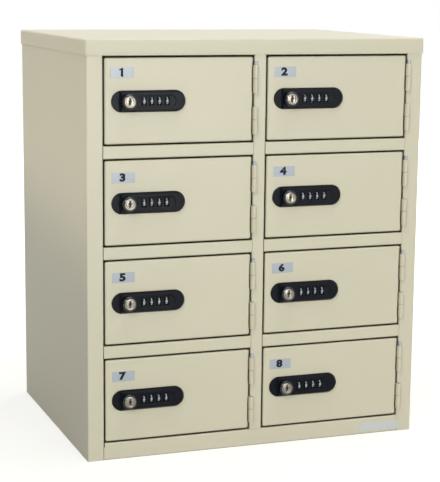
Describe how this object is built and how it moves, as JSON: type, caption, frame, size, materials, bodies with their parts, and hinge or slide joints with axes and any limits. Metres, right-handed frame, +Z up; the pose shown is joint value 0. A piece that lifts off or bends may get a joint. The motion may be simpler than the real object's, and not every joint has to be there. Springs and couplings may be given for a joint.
{
  "type": "cell phone locker box",
  "caption": "Folded steel phone locker box with a grid of compartments, each behind a hinged numbered door with a dial combination lock and key override.",
  "frame": {"origin": "middle of the cabinet's bottom face, on the surface it stands on", "axes": "+X to the right as seen from the front, +Y from the doors to the back, +Z up"},
  "size_m": [0.4308, 0.342, 0.5],
  "materials": {
    "powder_coat": "cream powder coat, fine texture, low gloss",
    "zinc_steel": "zinc plated",
    "lock_plastic": "moulded, satin black",
    "knob_finish": "black collar round a nickel key face, zinc cam behind",
    "dial_plastic": "moulded, black",
    "numeral_print": "white numerals filled into the dials",
    "key_nickel": "bright nickel plate on the key face",
    "label_tape": "silver laminated label tape",
    "label_print": "dark numerals under the tape's laminate"
  },
  "bodies": {
    "cabinet": {"cabinet_body": "powder_coat", "top_cap": "powder_coat", "shelf_insert": "powder_coat", "frame_hinges": "powder_coat"},
    "door_1": {"door_1": "powder_coat", "lock_case_1": "lock_plastic"},
    "lock_knob_1": {"lock_knob_1": "knob_finish"},
    "lock_dial_1_1": {"lock_dial_1_1": "dial_plastic"},
    "lock_dial_1_2": {"lock_dial_1_2": "dial_plastic"},
    "lock_dial_1_3": {"lock_dial_1_3": "dial_plastic"},
    "lock_dial_1_4": {"lock_dial_1_4": "dial_plastic"},
    "door_2": {"door_2": "powder_coat", "lock_case_2": "lock_plastic"},
    "lock_knob_2": {"lock_knob_2": "knob_finish"},
    "lock_dial_2_1": {"lock_dial_2_1": "dial_plastic"},
    "lock_dial_2_2": {"lock_dial_2_2": "dial_plastic"},
    "lock_dial_2_3": {"lock_dial_2_3": "dial_plastic"},
    "lock_dial_2_4": {"lock_dial_2_4": "dial_plastic"},
    "door_3": {"door_3": "powder_coat", "lock_case_3": "lock_plastic"},
    "lock_knob_3": {"lock_knob_3": "knob_finish"},
    "lock_dial_3_1": {"lock_dial_3_1": "dial_plastic"},
    "lock_dial_3_2": {"lock_dial_3_2": "dial_plastic"},
    "lock_dial_3_3": {"lock_dial_3_3": "dial_plastic"},
    "lock_dial_3_4": {"lock_dial_3_4": "dial_plastic"},
    "door_4": {"door_4": "powder_coat", "lock_case_4": "lock_plastic"},
    "lock_knob_4": {"lock_knob_4": "knob_finish"},
    "lock_dial_4_1": {"lock_dial_4_1": "dial_plastic"},
    "lock_dial_4_2": {"lock_dial_4_2": "dial_plastic"},
    "lock_dial_4_3": {"lock_dial_4_3": "dial_plastic"},
    "lock_dial_4_4": {"lock_dial_4_4": "dial_plastic"},
    "door_5": {"door_5": "powder_coat", "lock_case_5": "lock_plastic"},
    "lock_knob_5": {"lock_knob_5": "knob_finish"},
    "lock_dial_5_1": {"lock_dial_5_1": "dial_plastic"},
    "lock_dial_5_2": {"lock_dial_5_2": "dial_plastic"},
    "lock_dial_5_3": {"lock_dial_5_3": "dial_plastic"},
    "lock_dial_5_4": {"lock_dial_5_4": "dial_plastic"},
    "door_6": {"door_6": "powder_coat", "lock_case_6": "lock_plastic"},
    "lock_knob_6": {"lock_knob_6": "knob_finish"},
    "lock_dial_6_1": {"lock_dial_6_1": "dial_plastic"},
    "lock_dial_6_2": {"lock_dial_6_2": "dial_plastic"},
    "lock_dial_6_3": {"lock_dial_6_3": "dial_plastic"},
    "lock_dial_6_4": {"lock_dial_6_4": "dial_plastic"},
    "door_7": {"door_7": "powder_coat", "lock_case_7": "lock_plastic"},
    "lock_knob_7": {"lock_knob_7": "knob_finish"},
    "lock_dial_7_1": {"lock_dial_7_1": "dial_plastic"},
    "lock_dial_7_2": {"lock_dial_7_2": "dial_plastic"},
    "lock_dial_7_3": {"lock_dial_7_3": "dial_plastic"},
    "lock_dial_7_4": {"lock_dial_7_4": "dial_plastic"},
    "door_8": {"door_8": "powder_coat", "lock_case_8": "lock_plastic"},
    "lock_knob_8": {"lock_knob_8": "knob_finish"},
    "lock_dial_8_1": {"lock_dial_8_1": "dial_plastic"},
    "lock_dial_8_2": {"lock_dial_8_2": "dial_plastic"},
    "lock_dial_8_3": {"lock_dial_8_3": "dial_plastic"},
    "lock_dial_8_4": {"lock_dial_8_4": "dial_plastic"}
  },
  "joints": [
    {"name": "door_1_hinge", "type": "hinge", "parent": "cabinet", "child": "door_1", "pos_m": [-0.0074, -0.16748, 0.42878], "axis": [0, 0, 1], "range_deg": [0, 165]},
    {"name": "knob_1_turn", "type": "hinge", "parent": "door_1", "child": "lock_knob_1", "pos_m": [-0.1648, -0.164, 0.42847], "axis": [0, 1, 0], "range_deg": [0, 90]},
    {"name": "dial_1_1_spin", "type": "hinge", "parent": "door_1", "child": "lock_dial_1_1", "pos_m": [-0.1457, -0.1641, 0.42847], "axis": [1, 0, 0], "continuous": true},
    {"name": "dial_1_2_spin", "type": "hinge", "parent": "door_1", "child": "lock_dial_1_2", "pos_m": [-0.1364, -0.1641, 0.42847], "axis": [1, 0, 0], "continuous": true},
    {"name": "dial_1_3_spin", "type": "hinge", "parent": "door_1", "child": "lock_dial_1_3", "pos_m": [-0.1271, -0.1641, 0.42847], "axis": [1, 0, 0], "continuous": true},
    {"name": "dial_1_4_spin", "type": "hinge", "parent": "door_1", "child": "lock_dial_1_4", "pos_m": [-0.1178, -0.1641, 0.42847], "axis": [1, 0, 0], "continuous": true},
    {"name": "door_2_hinge", "type": "hinge", "parent": "cabinet", "child": "door_2", "pos_m": [0.1942, -0.16748, 0.42878], "axis": [0, 0, 1], "range_deg": [0, 180]},
    {"name": "knob_2_turn", "type": "hinge", "parent": "door_2", "child": "lock_knob_2", "pos_m": [0.0368, -0.164, 0.42847], "axis": [0, 1, 0], "range_deg": [0, 90]},
    {"name": "dial_2_1_spin", "type": "hinge", "parent": "door_2", "child": "lock_dial_2_1", "pos_m": [0.0559, -0.1641, 0.42847], "axis": [1, 0, 0], "continuous": true},
    {"name": "dial_2_2_spin", "type": "hinge", "parent": "door_2", "child": "lock_dial_2_2", "pos_m": [0.0652, -0.1641, 0.42847], "axis": [1, 0, 0], "continuous": true},
    {"name": "dial_2_3_spin", "type": "hinge", "parent": "door_2", "child": "lock_dial_2_3", "pos_m": [0.0745, -0.1641, 0.42847], "axis": [1, 0, 0], "continuous": true},
    {"name": "dial_2_4_spin", "type": "hinge", "parent": "door_2", "child": "lock_dial_2_4", "pos_m": [0.0838, -0.1641, 0.42847], "axis": [1, 0, 0], "continuous": true},
    {"name": "door_3_hinge", "type": "hinge", "parent": "cabinet", "child": "door_3", "pos_m": [-0.0074, -0.16748, 0.31012], "axis": [0, 0, 1], "range_deg": [0, 165]},
    {"name": "knob_3_turn", "type": "hinge", "parent": "door_3", "child": "lock_knob_3", "pos_m": [-0.1648, -0.164, 0.30983], "axis": [0, 1, 0], "range_deg": [0, 90]},
    {"name": "dial_3_1_spin", "type": "hinge", "parent": "door_3", "child": "lock_dial_3_1", "pos_m": [-0.1457, -0.1641, 0.30983], "axis": [1, 0, 0], "continuous": true},
    {"name": "dial_3_2_spin", "type": "hinge", "parent": "door_3", "child": "lock_dial_3_2", "pos_m": [-0.1364, -0.1641, 0.30983], "axis": [1, 0, 0], "continuous": true},
    {"name": "dial_3_3_spin", "type": "hinge", "parent": "door_3", "child": "lock_dial_3_3", "pos_m": [-0.1271, -0.1641, 0.30983], "axis": [1, 0, 0], "continuous": true},
    {"name": "dial_3_4_spin", "type": "hinge", "parent": "door_3", "child": "lock_dial_3_4", "pos_m": [-0.1178, -0.1641, 0.30983], "axis": [1, 0, 0], "continuous": true},
    {"name": "door_4_hinge", "type": "hinge", "parent": "cabinet", "child": "door_4", "pos_m": [0.1942, -0.16748, 0.31012], "axis": [0, 0, 1], "range_deg": [0, 180]},
    {"name": "knob_4_turn", "type": "hinge", "parent": "door_4", "child": "lock_knob_4", "pos_m": [0.0368, -0.164, 0.30983], "axis": [0, 1, 0], "range_deg": [0, 90]},
    {"name": "dial_4_1_spin", "type": "hinge", "parent": "door_4", "child": "lock_dial_4_1", "pos_m": [0.0559, -0.1641, 0.30983], "axis": [1, 0, 0], "continuous": true},
    {"name": "dial_4_2_spin", "type": "hinge", "parent": "door_4", "child": "lock_dial_4_2", "pos_m": [0.0652, -0.1641, 0.30983], "axis": [1, 0, 0], "continuous": true},
    {"name": "dial_4_3_spin", "type": "hinge", "parent": "door_4", "child": "lock_dial_4_3", "pos_m": [0.0745, -0.1641, 0.30983], "axis": [1, 0, 0], "continuous": true},
    {"name": "dial_4_4_spin", "type": "hinge", "parent": "door_4", "child": "lock_dial_4_4", "pos_m": [0.0838, -0.1641, 0.30983], "axis": [1, 0, 0], "continuous": true},
    {"name": "door_5_hinge", "type": "hinge", "parent": "cabinet", "child": "door_5", "pos_m": [-0.0074, -0.16748, 0.19148], "axis": [0, 0, 1], "range_deg": [0, 165]},
    {"name": "knob_5_turn", "type": "hinge", "parent": "door_5", "child": "lock_knob_5", "pos_m": [-0.1648, -0.164, 0.19118], "axis": [0, 1, 0], "range_deg": [0, 90]},
    {"name": "dial_5_1_spin", "type": "hinge", "parent": "door_5", "child": "lock_dial_5_1", "pos_m": [-0.1457, -0.1641, 0.19118], "axis": [1, 0, 0], "continuous": true},
    {"name": "dial_5_2_spin", "type": "hinge", "parent": "door_5", "child": "lock_dial_5_2", "pos_m": [-0.1364, -0.1641, 0.19118], "axis": [1, 0, 0], "continuous": true},
    {"name": "dial_5_3_spin", "type": "hinge", "parent": "door_5", "child": "lock_dial_5_3", "pos_m": [-0.1271, -0.1641, 0.19118], "axis": [1, 0, 0], "continuous": true},
    {"name": "dial_5_4_spin", "type": "hinge", "parent": "door_5", "child": "lock_dial_5_4", "pos_m": [-0.1178, -0.1641, 0.19118], "axis": [1, 0, 0], "continuous": true},
    {"name": "door_6_hinge", "type": "hinge", "parent": "cabinet", "child": "door_6", "pos_m": [0.1942, -0.16748, 0.19148], "axis": [0, 0, 1], "range_deg": [0, 180]},
    {"name": "knob_6_turn", "type": "hinge", "parent": "door_6", "child": "lock_knob_6", "pos_m": [0.0368, -0.164, 0.19118], "axis": [0, 1, 0], "range_deg": [0, 90]},
    {"name": "dial_6_1_spin", "type": "hinge", "parent": "door_6", "child": "lock_dial_6_1", "pos_m": [0.0559, -0.1641, 0.19118], "axis": [1, 0, 0], "continuous": true},
    {"name": "dial_6_2_spin", "type": "hinge", "parent": "door_6", "child": "lock_dial_6_2", "pos_m": [0.0652, -0.1641, 0.19118], "axis": [1, 0, 0], "continuous": true},
    {"name": "dial_6_3_spin", "type": "hinge", "parent": "door_6", "child": "lock_dial_6_3", "pos_m": [0.0745, -0.1641, 0.19118], "axis": [1, 0, 0], "continuous": true},
    {"name": "dial_6_4_spin", "type": "hinge", "parent": "door_6", "child": "lock_dial_6_4", "pos_m": [0.0838, -0.1641, 0.19118], "axis": [1, 0, 0], "continuous": true},
    {"name": "door_7_hinge", "type": "hinge", "parent": "cabinet", "child": "door_7", "pos_m": [-0.0074, -0.16748, 0.07283], "axis": [0, 0, 1], "range_deg": [0, 165]},
    {"name": "knob_7_turn", "type": "hinge", "parent": "door_7", "child": "lock_knob_7", "pos_m": [-0.1648, -0.164, 0.07253], "axis": [0, 1, 0], "range_deg": [0, 90]},
    {"name": "dial_7_1_spin", "type": "hinge", "parent": "door_7", "child": "lock_dial_7_1", "pos_m": [-0.1457, -0.1641, 0.07253], "axis": [1, 0, 0], "continuous": true},
    {"name": "dial_7_2_spin", "type": "hinge", "parent": "door_7", "child": "lock_dial_7_2", "pos_m": [-0.1364, -0.1641, 0.07253], "axis": [1, 0, 0], "continuous": true},
    {"name": "dial_7_3_spin", "type": "hinge", "parent": "door_7", "child": "lock_dial_7_3", "pos_m": [-0.1271, -0.1641, 0.07253], "axis": [1, 0, 0], "continuous": true},
    {"name": "dial_7_4_spin", "type": "hinge", "parent": "door_7", "child": "lock_dial_7_4", "pos_m": [-0.1178, -0.1641, 0.07253], "axis": [1, 0, 0], "continuous": true},
    {"name": "door_8_hinge", "type": "hinge", "parent": "cabinet", "child": "door_8", "pos_m": [0.1942, -0.16748, 0.07283], "axis": [0, 0, 1], "range_deg": [0, 180]},
    {"name": "knob_8_turn", "type": "hinge", "parent": "door_8", "child": "lock_knob_8", "pos_m": [0.0368, -0.164, 0.07253], "axis": [0, 1, 0], "range_deg": [0, 90]},
    {"name": "dial_8_1_spin", "type": "hinge", "parent": "door_8", "child": "lock_dial_8_1", "pos_m": [0.0559, -0.1641, 0.07253], "axis": [1, 0, 0], "continuous": true},
    {"name": "dial_8_2_spin", "type": "hinge", "parent": "door_8", "child": "lock_dial_8_2", "pos_m": [0.0652, -0.1641, 0.07253], "axis": [1, 0, 0], "continuous": true},
    {"name": "dial_8_3_spin", "type": "hinge", "parent": "door_8", "child": "lock_dial_8_3", "pos_m": [0.0745, -0.1641, 0.07253], "axis": [1, 0, 0], "continuous": true},
    {"name": "dial_8_4_spin", "type": "hinge", "parent": "door_8", "child": "lock_dial_8_4", "pos_m": [0.0838, -0.1641, 0.07253], "axis": [1, 0, 0], "continuous": true}
  ]
}
